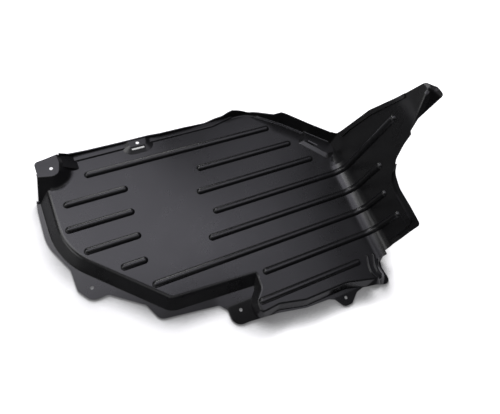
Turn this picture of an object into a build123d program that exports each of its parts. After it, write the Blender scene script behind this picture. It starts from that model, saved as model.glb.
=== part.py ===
from build123d import *
import math
import os

# Engine splash shield: one thermoformed plastic sheet, millimetres, +Z up.
# It is drawn as the skin between two moulds, an upper one and a lower one, and then trimmed.
# Drawing frame: x runs along the ribs from the narrow rim to the upright wing, y to the back.

# The sheet, and the levels of its upper skin.
SHEET = 2.5
RIM_Z = SHEET                # narrow flange that lies on the floor
DECK_Z = 28.0                # ribbed deck
BACK_RIM_Z = 31.5            # rim along the back edge
CORNER_PAD_Z = 54.0          # fixing pad at the back left corner
CLIP_PAD_Z = 36.5            # small pad with hole and slot on the back rim
SHELF_Z = 35.0               # low shelf in the back right corner
BEAD_Z = 31.5                # two bent beads in the front right corner
MOULD_BOTTOM = -4.0
MOULD_TOP = 470.0
WORK_X = 900.0               # the moulds reach past the sheet on every side
WORK_Y = 660.0

# Walls: how far each reaches out over its height, and the roundings of their edges.
DECK_RUN = 25.5              # soft 45 degree wall on the left and at the front
FRONT_RUN = 13.0             # steep wall of the right part
DECK_ROUND = 14.0
FRONT_ROUND = 7.0
FOOT_ROUND = 3.0
BACK_RIM_RUN = 3.0
BACK_RIM_ROUND = 2.6
SHELF_RUN = 12.0
BEAD_RUN = 3.0
BEAD_ROUND = 1.4

# Outlines at the level named above, each corner as x, y and its rounding.
DECK_LEFT = [
    (42.5, 640, 40), (42.5, 361, 150), (236, 167, 16), (560, 146, 40), (560, 640, 40),
]
DECK_RIGHT = [
    (430, 640, 20), (424, 172, 10), (452, 152, 10), (449, 114, 24), (425, 88, 24), (425, 57, 8),
    (475, 61, 30), (545, 45, 60), (668, 45, 60), (772, 20, 7), (769, 44, 30), (786, 76, 12), (840, 76, 0),
    (840, 640, 20),
]
LEFT_BEAD = [
    (759, 88, 2), (752, 67, 30), (749, 44, 30), (757, 26, 2),
    (752, 25, 2), (744, 44, 30), (747, 67, 30), (754, 88, 2),
]
RIGHT_BEAD = [
    (778, 86, 2), (769, 62, 30), (767, 42, 30), (770, 29, 2),
    (765, 28, 2), (762, 42, 30), (764, 62, 30), (773, 86, 2),
]
SHELF = [(721, 463, 10), (784, 391, 14), (880, 391, 0), (880, 622, 0)]
BACK_RIM = [(60, 580, 0), (500, 583, 60), (585, 601, 0), (585, 660, 0), (60, 660, 0)]
BACK_WALL = [
    (90, 660, 0), (90, 594.5, 0), (320, 594.5, 60), (350, 591, 60), (430, 591, 90), (510, 596.5, 90),
    (612, 597, 90), (700, 533, 120), (842, 406, 0), (900, 406, 0), (900, 660, 0),
]
BACK_WALL_HEIGHT = 112.0     # above the deck, before trimming
BACK_WALL_RUN = 8.0          # how far it leans out over that height
BACK_WALL_ROUND = 5.0
REAR_X, REAR_Y = 470.0, 300.0   # the deck's floor behind and beside the back wall starts here
REAR_FOOT_GAP = 14.0            # the round foot ends this far short of the wing's face

# Trimmed edge of the sheet, seen from above.
EDGE = [
    (5, 395, 120), (40, 318, 12), (42, 264, 26), (66, 230, 26), (103, 233, 14), (176, 178, 12),
    (196, 134, 22), (338, 114, 10), (354, 95, 12), (354, 51, 26), (393, 51, 30), (470, 43, 30), (545, 28, 40),
    (612, 25, 16), (627, 18, 8), (644, -8, 14), (667, -8, 16), (694, 14, 16), (717, 19, 20), (801, -1, 14),
    (796, 46, 24), (803, 74, 14), (835, 78, 0), (900, 78, 0), (900, 640, 0), (106, 640, 0), (106, 601, 0),
    (60, 592, 10), (32, 588, 10), (32, 557, 0), (21.5, 555.5, 0), (12, 530, 20), (6.5, 485, 60),
]

# Top edge of the back wall as x and z, then the edge of the wing as y and z.
WALL_EDGE = [
    (-40, 62, 0), (84, 62, 0), (97, 52, 4), (112, 43, 8), (155, 39.5, 0), (240, 38.5, 0), (318, 39.5, 8),
    (352, 41.5, 20), (425, 41, 30), (479, 33, 16), (506, 39, 20), (534, 43, 10), (550, 54, 8), (562, 58, 8),
    (583, 50, 14), (613, 37, 14), (645, 48, 20), (675, 58, 6), (691, 76.5, 6), (760, 74.5, 0), (807, 76, 0),
]
WALL_EDGE_X = 806.0
WALL_AREA = (600.0, 570.0)   # the back wall's edge trims nothing both left and in front of this corner
WING_EDGE = [
    (70, -20, 0), (81, 24, 30), (88, 66, 40), (94, 142, 30), (96, 186, 10), (145, 187, 0), (199, 185, 50),
    (237, 197, 36), (261, 230, 40), (275, 274, 20), (281, 306, 3), (288, 311, 3), (298, 346, 30),
    (301, 422, 9), (322, 425, 8), (346, 411, 10), (368, 336, 60), (402, 240, 60), (419, 150, 50),
    (427, 108, 20), (436, 78, 12), (480, 78, 0), (480, -20, 0),
]

# Upright wing: its fold, the lips along its edges, and its arm.
FOLD_X = 776.5               # where the deck begins to turn up
FOLD_R = 40.0
TIGHT_R = 8.0                # the fold tightens to this radius near the back wall
FOLD_TIGHTENING = 56.0       # over this length
FOLD_TIGHT_PAST = 12.0       # and has done so this far past the back wall's corner on the wing
FOLD_TIGHT_Y = BACK_WALL[-3][1] + FOLD_TIGHT_PAST
FOLD_WIDE_Y = FOLD_TIGHT_Y - FOLD_TIGHTENING
WING_LEAN = 4.0              # degrees off the vertical
WING_START_X = 770.0
WING_FRONT_Y = 72.0
ARM_Z = 306.0                # the arm stands above this height
FLANK_RIDGE = [(284, 306), (327, 405)]   # ridge of its front flank, y and z
FLANK_DEPTH = 12.0           # how far it falls back at FLANK_STEP from the ridge's first point
FLANK_STEP = (12, 99)
TIP_CREASE = [(340, 409), (299, 413)]    # crease of the pad at the arm's end, y and z
TIP_DEPTH = 6.0              # how far it falls back at TIP_STEP from the crease's first point
TIP_STEP = (-20, 23)
LIP_DEPTH = 5.0
LIP_FOOT_Z = 70.0            # a lip starts here and has its full depth at LIP_FULL_Z
LIP_FULL_Z = 100.0
LIP_AIR_X = 700.0
LIP_BACK = [                 # stands proud of the face
    (452, 90, 0), (414, 90, 12), (409, 142, 40), (390, 238, 60), (354, 352, 4), (400, 372, 0), (452, 372, 0),
]
LIP_FRONT = [                # stands back from the face
    (40, 48, 0), (98, 48, 0), (109, 171, 14), (196, 170, 40), (232, 182, 40), (253, 225, 40),
    (268, 280, 0), (272, 298, 0), (40, 298, 0),
]

# Ribs, on row lines at an even pitch.
RIB_HEIGHT = 8.0
RIB_CREST_R = 8.8            # round crest
RIB_FLANK = 65.0             # slope of the flanks in degrees
RIB_SINK = 6.0               # how deep a rib's body reaches under the deck's skin
RIB_PITCH = 64.5
RIB_FIRST_Y = 83.0
FLAT_RIBS = [                # row, left tip, right tip
    (7, 133, 657), (6, 66, 224), (6, 410, 700), (5, 54, 221), (5, 386, 742), (4, 80, 217), (3, 147, 213),
    (0, 427, 730),
]
WING_RIBS = [                # row, left tip, tip height on the wing
    (4, 407, 296), (3, 370, 178), (2, 202, 143), (1, 466, 149),
]

# Corner pad with its shoulder, and clip pad.
CORNER_PAD = [(-30, 562, 0), (66, 541, 16), (81, 548, 16), (88, 575, 6), (84, 640, 0), (-30, 640, 0)]
PAD_RUN = 24.0
PAD_ROUND = 4.0
PAD_FOOT_ROUND = 18.0
PAD_FOOT_X = 49.5            # the rounding of its foot starts here, on the flat of the deck
PAD_SIDE = [(-40, 6, 0), (14, 6, 0), (34, 62, 0), (-40, 62, 0)]   # cut off left of its front wall, x and z
PAD_SIDE_Y = (480, 574)
SHOULDER = [(60, 640, 0), (60, 556, 0), (128, 556, 6), (128, 640, 0)]
SHOULDER_RUN = 10.0
SHOULDER_SLOPE = [(82, 53), (127, 29)]   # it falls away from the pad, x and z
SHOULDER_FRONT_Y = 500.0
SHOULDER_ENDS_X = (40, 147)
CLIP_PAD = [(263, 577, 6), (306, 577, 6), (314, 620, 0), (263, 620, 0)]
CLIP_RUN = 19.0
CLIP_ROUND = 2.0

# Holes.
HOLE_R = 4.5
TAB_HOLES = [(73, 261), (384, 85), (658, 12)]
PAD_HOLE = (66, 563)
CLIP_HOLE = (285, 585)
CLIP_SLOT = (283, 571, 34, 5)   # middle x, y, length, width


def outline(corners):
    """Closed face in the XY plane with its corners rounded."""
    face = make_face(Polyline(*[(x, y) for x, y, _ in corners], close=True)).face()
    for x, y, r in corners:
        if r > 0:
            corner = face.vertices().sort_by_distance((x, y, 0))[0]
            face = face.fillet_2d(r, [corner])
    return face


def raised(corners, at_z, top_z, run, height, off, round_r):
    """Block whose wall passes the outline at at_z and reaches out by run over height.

    off sinks the whole skin by that much, square to each face."""
    slope = run / height
    grow = (at_z - MOULD_BOTTOM) * slope - off * math.hypot(1, slope)
    foot = Pos(0, 0, MOULD_BOTTOM) * offset(outline(corners), amount=grow, kind=Kind.INTERSECTION)
    block = extrude(foot, top_z - off - MOULD_BOTTOM, taper=math.degrees(math.atan(slope)))
    if round_r > off:
        top = top_z - off
        block = fillet(block.edges().filter_by_position(Axis.Z, top - 0.01, top + 0.01), round_r - off)
    return block


def prism_x(corners, x0, x1, grow=0.0):
    """Prism along x over an outline given as y and z."""
    face = outline(corners)
    if grow:
        face = offset(face, amount=grow, kind=Kind.INTERSECTION)
    return extrude(Plane.YZ.offset(x0) * face, x1 - x0)


def prism_y(corners, y0, y1):
    """Prism along y over an outline given as x and z."""
    plane = Plane(origin=(0, y1, 0), x_dir=(1, 0, 0), z_dir=(0, -1, 0))
    return extrude(plane * outline(corners), y1 - y0)


def wing_x(z, off=0.0):
    """x of the wing's face at height z."""
    lean = math.radians(WING_LEAN)
    corner = FOLD_X + FOLD_R * math.tan(math.radians(90 - WING_LEAN) / 2)
    return corner + (z - DECK_Z) * math.tan(lean) + off / math.cos(lean)


def deck(off):
    """Rim and ribbed deck with the soft wall between them."""
    slab_top = RIM_Z - off
    slab = Pos(WORK_X / 2, WORK_Y / 2, (slab_top + MOULD_BOTTOM) / 2) * Box(
        WORK_X + 100, WORK_Y + 100, slab_top - MOULD_BOTTOM)
    left = raised(DECK_LEFT, DECK_Z, DECK_Z, DECK_RUN, DECK_Z - RIM_Z, off, DECK_ROUND)
    mass = slab + left
    foot = [
        e for e in mass.edges().filter_by_position(Axis.Z, slab_top - 0.01, slab_top + 0.01)
        if -40 < e.center().X < WORK_X and -40 < e.center().Y < WORK_Y + 20
    ]
    mass = fillet(foot, FOOT_ROUND + off)
    right = raised(DECK_RIGHT, DECK_Z, DECK_Z, FRONT_RUN, DECK_Z - RIM_Z, off, FRONT_ROUND)
    beads = [raised(bead, BEAD_Z, BEAD_Z, BEAD_RUN, BEAD_Z - DECK_Z, off, BEAD_ROUND)
             for bead in (LEFT_BEAD, RIGHT_BEAD)]
    return mass + [right] + beads


def wing_section(off, fold_r):
    """Deck end, fold and upright wing in x and z."""
    low = DECK_Z - off
    return [
        (WING_START_X, MOULD_BOTTOM, 0), (WING_START_X, low, 0), (wing_x(low, off), low, fold_r + off),
        (wing_x(MOULD_TOP, off), MOULD_TOP, 0), (WORK_X, MOULD_TOP, 0), (WORK_X, MOULD_BOTTOM, 0),
    ]


def wing(off):
    """Upright wing. Its wide fold tightens on the way to the back wall."""
    wide, tight = wing_section(off, FOLD_R), wing_section(off, TIGHT_R)
    ends = [
        Plane(origin=(0, y, 0), x_dir=(1, 0, 0), z_dir=(0, -1, 0)) * outline(section)
        for y, section in ((FOLD_WIDE_Y, wide), (FOLD_TIGHT_Y, tight))
    ]
    front = prism_y(wide, WING_FRONT_Y + off, FOLD_WIDE_Y)
    return front + [loft(ends, ruled=True), prism_y(tight, FOLD_TIGHT_Y, WORK_Y)]


def rear(off):
    """Wing, and the wall that rises behind the deck and swings round to it, with a round foot."""
    wall = raised(BACK_WALL, DECK_Z, DECK_Z + BACK_WALL_HEIGHT + off, BACK_WALL_RUN, BACK_WALL_HEIGHT, off, 0)
    low = DECK_Z - off
    floor = Pos(REAR_X, REAR_Y, MOULD_BOTTOM) * Box(
        WORK_X - REAR_X, WORK_Y - REAR_Y, low - MOULD_BOTTOM, align=(Align.MIN, Align.MIN, Align.MIN))
    mass = floor + [wing(off), wall]
    foot_end_x, foot_end_y = wing_x(low) - REAR_FOOT_GAP, BACK_WALL[-3][1]
    foot = [
        e for e in mass.edges().filter_by_position(Axis.Z, low - 0.01, low + 0.01)
        if REAR_X + 3 < e.center().X < foot_end_x and foot_end_y < e.center().Y < WORK_Y - 25
    ]
    return fillet(foot, BACK_WALL_ROUND + off)


def corner_pad(off):
    """Fixing pad that stands up at the back left corner, with a soft foot on the deck."""
    block = raised(CORNER_PAD, CORNER_PAD_Z, CORNER_PAD_Z, PAD_RUN, CORNER_PAD_Z - DECK_Z, off, PAD_ROUND)
    top = DECK_Z - off
    local = Pos(PAD_FOOT_X, 400, MOULD_BOTTOM) * Box(
        200, 200, top - MOULD_BOTTOM, align=(Align.MIN, Align.MIN, Align.MIN))
    joined = local + block
    foot = [
        e for e in joined.edges().filter_by_position(Axis.Z, top - 0.01, top + 0.01)
        if PAD_FOOT_X + 1 < e.center().X < 190 and 450 < e.center().Y < 599
    ]
    return fillet(foot, PAD_FOOT_ROUND + off)


def shoulder(off):
    """Sloping shoulder between the corner pad and the back rim."""
    (x0, z0), (x1, z1) = SHOULDER_SLOPE
    sunk = off * math.hypot(1, (z0 - z1) / (x1 - x0))
    block = raised(SHOULDER, DECK_Z, CORNER_PAD_Z, SHOULDER_RUN, CORNER_PAD_Z - DECK_Z, off, 0)
    left, right = SHOULDER_ENDS_X
    under = [
        (left, MOULD_BOTTOM, 0), (left, z0 - sunk, 0), (x0, z0 - sunk, 0), (x1, z1 - sunk, 0),
        (right, z1 - sunk, 0), (right, MOULD_BOTTOM, 0),
    ]
    return block & prism_y(under, SHOULDER_FRONT_Y, WORK_Y)


def rib_half(z, off=0.0):
    """Half the width of a rib's straight flanks at height z."""
    flank = math.radians(RIB_FLANK)
    centre = DECK_Z + RIB_HEIGHT - RIB_CREST_R
    return (RIB_CREST_R - off) / math.sin(flank) + (centre - z) / math.tan(flank)


def rib_section(off):
    """Rib cross-section over the deck line, drawn across the rib: steep flanks under a round crest."""
    flank = math.radians(RIB_FLANK)
    r = RIB_CREST_R - off
    centre = DECK_Z + RIB_HEIGHT - RIB_CREST_R
    side, shoulder_z = r * math.sin(flank), centre + r * math.cos(flank)
    low = DECK_Z - RIB_SINK
    foot = rib_half(low, off)
    crest = ThreePointArc((side, shoulder_z), (0, centre + r), (-side, shoulder_z))
    body = Polyline((-side, shoulder_z), (-foot, low), (foot, low), (side, shoulder_z))
    return make_face([crest, body]).face()


def ribs(off):
    """All ribs: straight ones on the deck, and four that turn up the fold."""
    section = Plane.YZ * rib_section(off)
    half = section & (Pos(0, WORK_Y / 2, 0) * Box(WORK_Y, WORK_Y, WORK_Y))
    dome = revolve(half, axis=Axis.Z, revolution_arc=180)
    tip = rib_half(DECK_Z)
    pieces = []
    turn = 90 - WING_LEAN
    axis_z = DECK_Z + FOLD_R
    up = Pos(FOLD_X, 0, axis_z) * Rot(0, -turn, 0) * Pos(-FOLD_X, 0, -axis_z)
    start_z = axis_z - FOLD_R * math.cos(math.radians(turn))
    for row, x0, x1 in FLAT_RIBS:
        y = RIB_FIRST_Y + row * RIB_PITCH
        pieces.append(Pos(x0 + tip, y, 0) * extrude(section, x1 - x0 - 2 * tip))
        pieces.append(Pos(x0 + tip, y, 0) * dome)
        pieces.append(Pos(x1 - tip, y, 0) * Rot(0, 0, 180) * dome)
    for row, x0, tip_z in WING_RIBS:
        y = RIB_FIRST_Y + row * RIB_PITCH
        length = (tip_z - start_z) / math.cos(math.radians(WING_LEAN)) - tip
        pieces.append(Pos(x0 + tip, y, 0) * extrude(section, FOLD_X - x0 - tip))
        pieces.append(Pos(x0 + tip, y, 0) * dome)
        at_fold = Pos(FOLD_X, y, 0) * section
        pieces.append(revolve(at_fold, axis=Axis((FOLD_X, y, axis_z), (0, -1, 0)), revolution_arc=turn))
        pieces.append(up * extrude(at_fold, length))
        pieces.append(up * Pos(FOLD_X + length, y, 0) * Rot(0, 0, 180) * dome)
    return pieces


def air_side(points, deep, step, off):
    """Large box in front of a plane laid through two points of the wing's face and one sunk point.

    The sunk point lies by step in y and z away from the first of the two."""
    (y0, z0), (y1, z1) = points
    deep_y, deep_z = y0 + step[0], z0 + step[1]
    a = Vector(wing_x(z0), y0, z0)
    b = Vector(wing_x(z1), y1, z1)
    c = Vector(wing_x(deep_z) + deep, deep_y, deep_z)
    normal = (b - a).cross(c - a).normalized()
    if normal.X > 0:
        normal = normal * -1
    plane = Plane(origin=a - normal * off, x_dir=(b - a), z_dir=normal)
    return plane * Box(400, 400, 100, align=(Align.CENTER, Align.CENTER, Align.MIN))


def mould(off):
    """Everything under one skin of the sheet."""
    rim = raised(BACK_RIM, BACK_RIM_Z, BACK_RIM_Z, BACK_RIM_RUN, BACK_RIM_Z - DECK_Z, off, BACK_RIM_ROUND)
    clip = raised(CLIP_PAD, CLIP_PAD_Z, CLIP_PAD_Z, CLIP_RUN, CLIP_PAD_Z - DECK_Z, off, CLIP_ROUND)
    shelf = raised(SHELF, DECK_Z, SHELF_Z, SHELF_RUN, SHELF_Z - DECK_Z, off, 0)
    mass = deck(off) + rear(off)
    mass = mass + [rim, clip, corner_pad(off), shoulder(off), shelf]
    mass = mass + ribs(off)
    arm = Pos(WING_START_X, 0, ARM_Z) * Box(
        WORK_X - WING_START_X, WORK_Y, MOULD_TOP - ARM_Z, align=(Align.MIN, Align.MIN, Align.MIN))
    flank = air_side(FLANK_RIDGE, FLANK_DEPTH, FLANK_STEP, off)
    tip = air_side(TIP_CREASE, TIP_DEPTH, TIP_STEP, off)
    mass = mass + proud_lip(off)
    for cut in (lip_air(off), flank & arm, tip & arm):
        mass = mass - cut
    return mass


def lip_step(depth, side_x, off):
    """Section in x and z between side_x and a face that leaves the wing's at the lip's foot."""
    return [
        (side_x, LIP_FOOT_Z, 0), (wing_x(LIP_FOOT_Z, off), LIP_FOOT_Z, 0),
        (wing_x(LIP_FULL_Z, off) + depth, LIP_FULL_Z, 0),
        (wing_x(MOULD_TOP, off) + depth, MOULD_TOP, 0), (side_x, MOULD_TOP, 0),
    ]


def lip_air(off):
    """Space in front of the lip that stands back from the wing's face."""
    step = prism_y(lip_step(LIP_DEPTH, LIP_AIR_X, off), 0, WORK_Y)
    return step & prism_x(LIP_FRONT, LIP_AIR_X, WORK_X, off)


def proud_lip(off):
    """Lip that stands proud of the wing's face along its back edge."""
    step = prism_y(lip_step(-LIP_DEPTH, WORK_X, off), 0, WORK_Y)
    return step & prism_x(LIP_BACK, LIP_AIR_X, WORK_X, -off)


def trim():
    """What is left of the sheet after trimming: plan edge, back wall edge, wing edge."""
    plan = Pos(0, 0, -10) * extrude(outline(EDGE), MOULD_TOP)
    wall = WALL_EDGE[:-1] + [(WALL_EDGE_X, WALL_EDGE[-1][1], 0), (WALL_EDGE_X, -10, 0), (-40, -10, 0)]
    x, y = WALL_AREA
    deck_area = Pos(-40, -40, -10) * Box(x + 40, y + 40, MOULD_TOP, align=(Align.MIN, Align.MIN, Align.MIN))
    upright = prism_y(wall, -40, WORK_Y) + [deck_area, prism_x(WING_EDGE, WALL_EDGE_X, WORK_X)]
    return (plan & upright) - prism_y(PAD_SIDE, *PAD_SIDE_Y)


def holes():
    """Drill for every fixing hole and the clip's slot."""
    drill = Cylinder(HOLE_R, 200)
    tools = [Pos(x, y, 0) * drill for x, y in TAB_HOLES + [PAD_HOLE, CLIP_HOLE]]
    x, y, length, width = CLIP_SLOT
    tools.append(Pos(x, y, 0) * extrude(SlotOverall(length, width), 100))
    return tools


def shield():
    sheet = mould(0.0) - mould(SHEET)
    sheet = sheet & trim()
    sheet = sheet - holes()
    box = sheet.bounding_box()
    middle = box.center()
    return Pos(-middle.X, -middle.Y, -box.min.Z) * sheet


os.makedirs("parts", exist_ok=True)
(splash_shield,) = shield().solids()
splash_shield.label = "splash_shield"
export_step(splash_shield, "parts/splash_shield.step")
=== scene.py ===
import bmesh
import bpy
from mathutils import Matrix, Vector


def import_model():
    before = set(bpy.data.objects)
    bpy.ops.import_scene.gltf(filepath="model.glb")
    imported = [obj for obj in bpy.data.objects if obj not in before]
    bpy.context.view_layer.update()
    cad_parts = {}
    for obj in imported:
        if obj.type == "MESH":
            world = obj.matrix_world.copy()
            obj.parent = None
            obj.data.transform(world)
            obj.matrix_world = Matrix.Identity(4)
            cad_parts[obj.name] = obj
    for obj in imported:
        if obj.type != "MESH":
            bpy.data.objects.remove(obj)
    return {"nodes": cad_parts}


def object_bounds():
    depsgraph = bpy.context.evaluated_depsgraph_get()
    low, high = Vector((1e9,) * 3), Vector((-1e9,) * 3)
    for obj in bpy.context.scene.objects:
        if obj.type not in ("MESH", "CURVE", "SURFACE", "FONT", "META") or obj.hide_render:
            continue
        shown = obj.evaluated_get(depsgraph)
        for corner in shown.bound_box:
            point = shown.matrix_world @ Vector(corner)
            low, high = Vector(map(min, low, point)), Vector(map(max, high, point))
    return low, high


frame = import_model()
cad_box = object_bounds()

# The shield, one black formed sheet, lies on a pale floor and is seen from above its narrow end.
MM = 0.001
PICTURE_WIDTH_PX = 500
LENS_PX = 430                              # focal length in pixels of the picture
SENSOR_MM = 36
NEAREST_SEEN = 0.01
CAMERA_AT = Vector((-0.30065, -0.29668, 1.058))
CAMERA_RIGHT = Vector((0.8986, -0.3872, 0.2063))
CAMERA_VIEW = Vector((0.3284, 0.2818, -0.9015))

# Surround: white to the camera, and almost dark to the sheet, whose walls and wing mirror it and stay near black.
PLAIN = "#ffffff"
COOL = "#f4f2ff"
WORLD_SEEN, WORLD_LIT = 1.0, 0.018

# Soft boxes and cards: name, place, what it faces, width and height, watts, colour. The deck mirrors the
# overhead box, the fold mirrors the boxes on the left, and the cards reach what faces away from those.
FLOOR_MIDDLE = (0.0, 0.0, 0.0)
SHEET_MIDDLE = (0.0, 0.0, 0.1)
LAMPS = [
    ("overhead_box", (-0.35, 0.75, 1.9), FLOOR_MIDDLE, (1.4, 1.4), 14.5, COOL),
    ("right_fade", (0.7, 0.75, 1.9), FLOOR_MIDDLE, (0.7, 1.4), 3.2, COOL),
    ("front_box", (0.75, -0.1, 1.9), FLOOR_MIDDLE, (1.3, 0.7), 3.6, COOL),
    ("crest_box", (0.0, -0.8, 1.9), FLOOR_MIDDLE, (1.6, 0.6), 2.0, PLAIN),
    ("left_box", (-1.4, 0.75, 1.8), FLOOR_MIDDLE, (1.0, 1.4), 14.0, PLAIN),
    ("left_front_box", (-1.4, -1.0, 1.9), FLOOR_MIDDLE, (0.7, 0.7), 2.4, PLAIN),
    ("left_card", (-2.2, 0.0, 0.8), SHEET_MIDDLE, (1.0, 0.8), 6.0, PLAIN),
    ("back_card", (0.0, 2.2, 0.8), SHEET_MIDDLE, (1.0, 0.8), 12.0, PLAIN),
]

# Floor: pale paper, helped to white by a glow that only the camera sees, with a painted shadow along the object's
# front edge.
FLOOR_HALF = 6.0
PAPER = "#e6e6e6"
PAPER_ROUGH = 0.5
GLOW_FROM = (-0.45, -0.2, 0.0)             # the paper is lit best here and needs the least help
GLOW_NEAR, GLOW_FAR, GLOW_LOW = 0.2, 1.25, 0.55
PAINTED_SHADOW_FROM = (0.0, 0.86, 0.50)           # the painted shadow falls away from this direction
# painted shadow on the paper: how far occlusion is sought, where the shade is full, how dark it gets, and its
# samples
PAINTED_SHADOW_REACH = 0.058
PAINTED_SHADOW_FULL, PAINTED_SHADOW_LEVEL = 0.74, 0.16
PAINTED_SHADOW_SAMPLES = 16

# The sheet. Its real grain is a few tenths of a millimetre, too fine to show, so it is drawn coarser.
GRAIN_MM = 1.6
GRAIN_HEIGHT_MM = 0.03
WAVE_MM = 90.0
WAVE_HEIGHT_MM = 0.5
HAZE_MM = 60.0
HAZE_LOW, HAZE_HIGH = 0.3, 0.7             # where the noise of the hazy patches has its dark and its light end
ROUGH_LOW, ROUGH_HIGH = 0.26, 0.31
SHEET_DARK, SHEET_LIGHT = "#151516", "#181819"
SHEET_IOR = 1.5


def past(along, none, whole):
    """Limit along a direction: none of the turn up to the first distance, all of it from the second."""
    return along, none, whole


def before(along, whole, none):
    """Limit along a direction: all of the turn up to the first distance, none of it from the second."""
    return tuple(-part for part in along), -none, -whole


# Light forms of the sheet that the solid doesn't have, drawn by turning the shading normal. Each has its
# limits, in the part's drawing and in millimetres, and the direction that the normal is turned towards.
DRAWING_ORIGIN_MM = (430.65, 296.68, 0.0)  # the frame's origin in the drawing
X, Y, Z = (1, 0, 0), (0, 1, 0), (0, 0, 1)
ARM = (0, 0.9173, -0.3984)                 # across the arm, from its front edge to its back edge
FOOT = (0.667, 0.745, 0)                   # across the foot of the wall that swings round to the wing
RAMP = (0.75, 0.66, 0)                     # up the shelf's ramp
SLIT = (0.73, 0.68, 0)                     # across the shelf's slit
SLIT_RUN = (0.68, -0.73, 0)                # along it
LEANS = [
    # the middle tab of the front edge hangs down
    ([past(X, 345, 360), before(X, 440, 480), before(Y, 98, 108), before(Z, 3, 8)], (0.0, -0.33, 0.0)),
    # the low flange left of it falls a little to the front
    ([before(X, 325, 345), before(Z, 3, 8)], (-0.03, -0.06, 0.0)),
    # the right tab of the front edge hangs down a little
    ([past(X, 620, 632), before(Y, 20, 24), before(Z, 3, 8)], (0.04, -0.12, 0.0)),
    # the arm's front flank falls back, and its face is twisted up towards the end
    ([before(ARM, 126, 145), past(Z, 300, 312), before(Z, 410, 418)], (0.5, -1.2, 0.5)),
    ([past(ARM, 134, 143), past(Z, 300, 390)], (0.0, 0.0, 0.4)),
    # two raised spots on the pad at the arm's end
    ([past(Y, 321, 324), before(Y, 328, 331), past(Z, 396, 401), before(Z, 406, 411)], (0.0, 0.1, 1.2)),
    ([past(Y, 313, 316), before(Y, 320, 323), past(Z, 415, 419), before(Z, 424, 430)], (0.0, 0.1, 1.1)),
    # the bright line at the wall's foot, left and right of where the shelf begins
    ([before(FOOT, 864, 866), past(FOOT, 855, 857), past(Z, 28.4, 29.4), before(Z, 31.5, 33.0),
      before(X, 748, 752)], (0.1, 0.65, 1.3)),
    ([before(FOOT, 866, 868), past(FOOT, 857, 860), past(Z, 35.2, 35.8), before(Z, 37.5, 39.0),
      past(X, 748, 752), before(X, 806, 812)], (0.1, 0.65, 1.3)),
    # the shelf's ramp, the slit in it and the raised line beside the slit
    ([before(RAMP, 858, 861), past(RAMP, 842, 845), past(Z, 28.3, 28.9), before(Z, 34.3, 34.9)],
     (-0.03, 0.17, 0.0)),
    ([before(SLIT, 855.2, 856.4), past(SLIT, 852.0, 853.2), past(SLIT_RUN, 168, 170),
      before(SLIT_RUN, 196, 198), past(Z, 30.0, 31.0)], (0.0, -1.6, 0.0)),
    ([before(SLIT, 861.2, 862.2), past(SLIT, 858.6, 859.6), past(SLIT_RUN, 176, 178),
      before(SLIT_RUN, 205, 207), past(Z, 30.0, 31.0)], (-0.45, 0.0, 0.0)),
]


def linear(srgb_hex, alpha=1.0):
    """Linear colour of a #rrggbb value."""
    parts = [int(srgb_hex[i:i + 2], 16) / 255 for i in (1, 3, 5)]
    return (*[c / 12.92 if c <= 0.04045 else ((c + 0.055) / 1.055) ** 2.4 for c in parts], alpha)


def new_material(name):
    """Empty node material and its tree."""
    material = bpy.data.materials.new(name)
    material.use_nodes = True
    material.node_tree.nodes.clear()
    return material, material.node_tree


def add_node(tree, kind, settings=None, links=None):
    """Adds a node. settings holds its properties and socket values, links maps a socket to its source."""
    node = tree.nodes.new(kind)
    for key, value in (settings or {}).items():
        if isinstance(key, str) and hasattr(node, key):
            setattr(node, key, value)
        else:
            node.inputs[key].default_value = value
    for key, source in (links or {}).items():
        tree.links.new(source, node.inputs[key])
    return node


def look_matrix(at, right, view):
    """Placement of a camera from where it is, its right and its line of sight."""
    back = -view.normalized()
    right = (right - right.dot(back) * back).normalized()
    up = back.cross(right)
    turn = Matrix((right, up, back)).transposed()
    return Matrix.Translation(at) @ turn.to_4x4()


def make_camera():
    """Camera at the photograph's place and angle."""
    camera = bpy.data.objects.new("camera", bpy.data.cameras.new("camera"))
    camera.data.sensor_width = SENSOR_MM
    camera.data.lens = SENSOR_MM * LENS_PX / PICTURE_WIDTH_PX
    camera.data.clip_start = NEAREST_SEEN
    camera.matrix_world = look_matrix(CAMERA_AT, CAMERA_RIGHT, CAMERA_VIEW)
    bpy.context.collection.objects.link(camera)
    bpy.context.scene.camera = camera


def make_lamp(name, at, target, size, watts, colour):
    """Soft box that faces its target."""
    lamp = bpy.data.objects.new(name, bpy.data.lights.new(name, "AREA"))
    lamp.data.shape = "RECTANGLE"
    lamp.data.size, lamp.data.size_y = size
    lamp.data.energy = watts
    lamp.data.color = linear(colour)[:3]
    lamp.location = at
    lamp.rotation_euler = (Vector(target) - Vector(at)).to_track_quat("-Z", "Y").to_euler()
    bpy.context.collection.objects.link(lamp)


def make_world():
    """Even surround that hardly lights the object and shows white to the camera."""
    world = bpy.data.worlds.new("studio")
    bpy.context.scene.world = world
    world.use_nodes = True
    tree = world.node_tree
    tree.nodes.clear()
    rays = add_node(tree, "ShaderNodeLightPath")
    lit = add_node(tree, "ShaderNodeBackground", {"Color": linear(PLAIN), "Strength": WORLD_LIT})
    seen = add_node(tree, "ShaderNodeBackground", {"Color": linear(PLAIN), "Strength": WORLD_SEEN})
    both = add_node(tree, "ShaderNodeMixShader", links={0: rays.outputs["Is Camera Ray"]})
    tree.links.new(lit.outputs[0], both.inputs[1])
    tree.links.new(seen.outputs[0], both.inputs[2])
    add_node(tree, "ShaderNodeOutputWorld", links={"Surface": both.outputs[0]})


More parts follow.
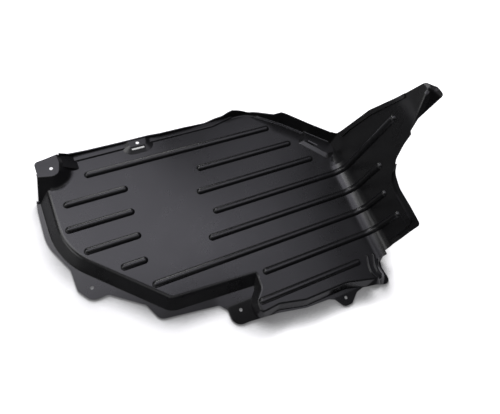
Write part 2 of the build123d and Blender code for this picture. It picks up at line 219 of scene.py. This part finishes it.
def floor_material():
    """Pale matt studio paper, white to the camera.

    What stands near a spot towards the back darkens the paper's colour and glow there, as the camera sees
    them: a painted shadow from occlusion along the object's front edge, on top of the lamps' own shadows."""
    material, tree = new_material("studio_paper")
    rays = add_node(tree, "ShaderNodeLightPath")
    paper = add_node(tree, "ShaderNodeBsdfDiffuse", {"Color": linear(PAPER), "Roughness": PAPER_ROUGH})
    # painted shadow: occlusion towards this direction darkens the paper that the camera sees
    painted_shadow_direction = add_node(tree, "ShaderNodeCombineXYZ", dict(zip("XYZ", PAINTED_SHADOW_FROM)))
    painted_shadow_open = add_node(tree, "ShaderNodeAmbientOcclusion",
                          {"samples": PAINTED_SHADOW_SAMPLES, "Distance": PAINTED_SHADOW_REACH},
                          {"Normal": painted_shadow_direction.outputs["Vector"]})
    painted_shade = add_node(tree, "ShaderNodeMapRange",
                     {"From Min": PAINTED_SHADOW_FULL, "From Max": 1.0, "To Min": PAINTED_SHADOW_LEVEL, "To Max": 1.0},
                     {"Value": painted_shadow_open.outputs["AO"]})
    paper_with_painted_shade = add_node(tree, "ShaderNodeVectorMath", {"operation": "SCALE", 0: linear(PAPER)[:3]},
                      {"Scale": painted_shade.outputs["Result"]})
    lit = add_node(tree, "ShaderNodeBsdfDiffuse", {"Roughness": PAPER_ROUGH},
                   {"Color": paper_with_painted_shade.outputs["Vector"]})
    place = add_node(tree, "ShaderNodeTexCoord").outputs["Object"]
    away = add_node(tree, "ShaderNodeVectorMath", {"operation": "DISTANCE", 1: GLOW_FROM}, {0: place})
    lift = add_node(tree, "ShaderNodeMapRange",
                    {"From Min": GLOW_NEAR, "From Max": GLOW_FAR, "To Min": GLOW_LOW, "To Max": 1.0},
                    {"Value": away.outputs["Value"]})
    # the glow is darkened by the same painted shade
    strength = add_node(tree, "ShaderNodeMath", {"operation": "MULTIPLY"},
                        {0: painted_shade.outputs["Result"], 1: lift.outputs["Result"]})
    glow = add_node(tree, "ShaderNodeEmission", {"Color": linear(PLAIN)}, {"Strength": strength.outputs[0]})
    lifted = add_node(tree, "ShaderNodeAddShader", links={0: lit.outputs[0], 1: glow.outputs[0]})
    seen = add_node(tree, "ShaderNodeMixShader",
                    links={0: rays.outputs["Is Camera Ray"], 1: paper.outputs[0], 2: lifted.outputs[0]})
    add_node(tree, "ShaderNodeOutputMaterial", links={"Surface": seen.outputs[0]})
    return material


def make_floor(level):
    """One wide sheet of paper that the object lies on."""
    mesh = bpy.data.meshes.new("floor")
    form = bmesh.new()
    bmesh.ops.create_grid(form, x_segments=1, y_segments=1, size=FLOOR_HALF)
    bmesh.ops.translate(form, verts=form.verts, vec=(0, 0, level))
    form.to_mesh(mesh)
    form.free()
    floor = bpy.data.objects.new("floor", mesh)
    mesh.materials.append(floor_material())
    bpy.context.collection.objects.link(floor)


def lean(tree, place, normal, limits, towards):
    """Turns the shading normal towards a direction, as far as all the limits allow at that place."""
    share = None
    for along, start, end in limits:
        shift = Vector(along).dot(Vector(DRAWING_ORIGIN_MM))
        depth = add_node(tree, "ShaderNodeVectorMath", {"operation": "DOT_PRODUCT", 1: along}, {0: place})
        part = add_node(tree, "ShaderNodeMapRange",
                        {"interpolation_type": "SMOOTHSTEP", "From Min": (start - shift) * MM,
                         "From Max": (end - shift) * MM}, {"Value": depth.outputs["Value"]}).outputs["Result"]
        share = part if share is None else add_node(
            tree, "ShaderNodeMath", {"operation": "MULTIPLY"}, {0: share, 1: part}).outputs[0]
    turn = add_node(tree, "ShaderNodeVectorMath", {"operation": "SCALE", 0: towards}, {"Scale": share})
    turned = add_node(tree, "ShaderNodeVectorMath", {"operation": "ADD"}, {0: normal, 1: turn.outputs["Vector"]})
    return add_node(tree, "ShaderNodeVectorMath", {"operation": "NORMALIZE"},
                    {0: turned.outputs["Vector"]}).outputs["Vector"]


def sheet_material():
    """Black polyolefin sheet, formed hot over a mould.

    It is satin, with a fine grain that breaks its shine, and it is never quite flat, so broad soft
    waves run through what it mirrors."""
    material, tree = new_material("formed_black_polyolefin")
    place = add_node(tree, "ShaderNodeTexCoord").outputs["Object"]
    grain = add_node(tree, "ShaderNodeTexNoise", {"Scale": 1 / (GRAIN_MM * MM), "Detail": 2.0, "Roughness": 0.6},
                     {"Vector": place})
    waves = add_node(tree, "ShaderNodeTexNoise", {"Scale": 1 / (WAVE_MM * MM), "Detail": 1.0, "Roughness": 0.4},
                     {"Vector": place})
    haze = add_node(tree, "ShaderNodeTexNoise", {"Scale": 1 / (HAZE_MM * MM), "Detail": 4.0, "Roughness": 0.55},
                    {"Vector": place})
    rough = add_node(tree, "ShaderNodeMapRange",
                     {"From Min": HAZE_LOW, "From Max": HAZE_HIGH, "To Min": ROUGH_LOW, "To Max": ROUGH_HIGH},
                     {"Value": haze.outputs["Fac"]})
    colour = add_node(tree, "ShaderNodeValToRGB", links={"Fac": haze.outputs["Fac"]})
    dark, light = colour.color_ramp.elements
    dark.position = HAZE_LOW
    dark.color = linear(SHEET_DARK)
    light.position = HAZE_HIGH
    light.color = linear(SHEET_LIGHT)
    normal = add_node(tree, "ShaderNodeNewGeometry").outputs["Normal"]
    for limits, towards in LEANS:
        normal = lean(tree, place, normal, limits, towards)
    wavy = add_node(tree, "ShaderNodeBump", {"Strength": 1.0, "Distance": WAVE_HEIGHT_MM * MM},
                    {"Height": waves.outputs["Fac"], "Normal": normal})
    grained = add_node(tree, "ShaderNodeBump", {"Strength": 1.0, "Distance": GRAIN_HEIGHT_MM * MM},
                       {"Height": grain.outputs["Fac"], "Normal": wavy.outputs["Normal"]})
    surface = add_node(tree, "ShaderNodeBsdfPrincipled", {"IOR": SHEET_IOR, "Metallic": 0.0},
                       {"Base Color": colour.outputs["Color"], "Roughness": rough.outputs["Result"],
                        "Normal": grained.outputs["Normal"]})
    add_node(tree, "ShaderNodeOutputMaterial", links={"Surface": surface.outputs[0]})
    return material


make_camera()
make_world()
for lamp_settings in LAMPS:
    make_lamp(*lamp_settings)
make_floor(cad_box[0].z)

black_sheet = sheet_material()
for node in frame["nodes"].values():
    for slot in node.material_slots:
        slot.material = black_sheet

bpy.context.scene.view_settings.view_transform = "Standard"
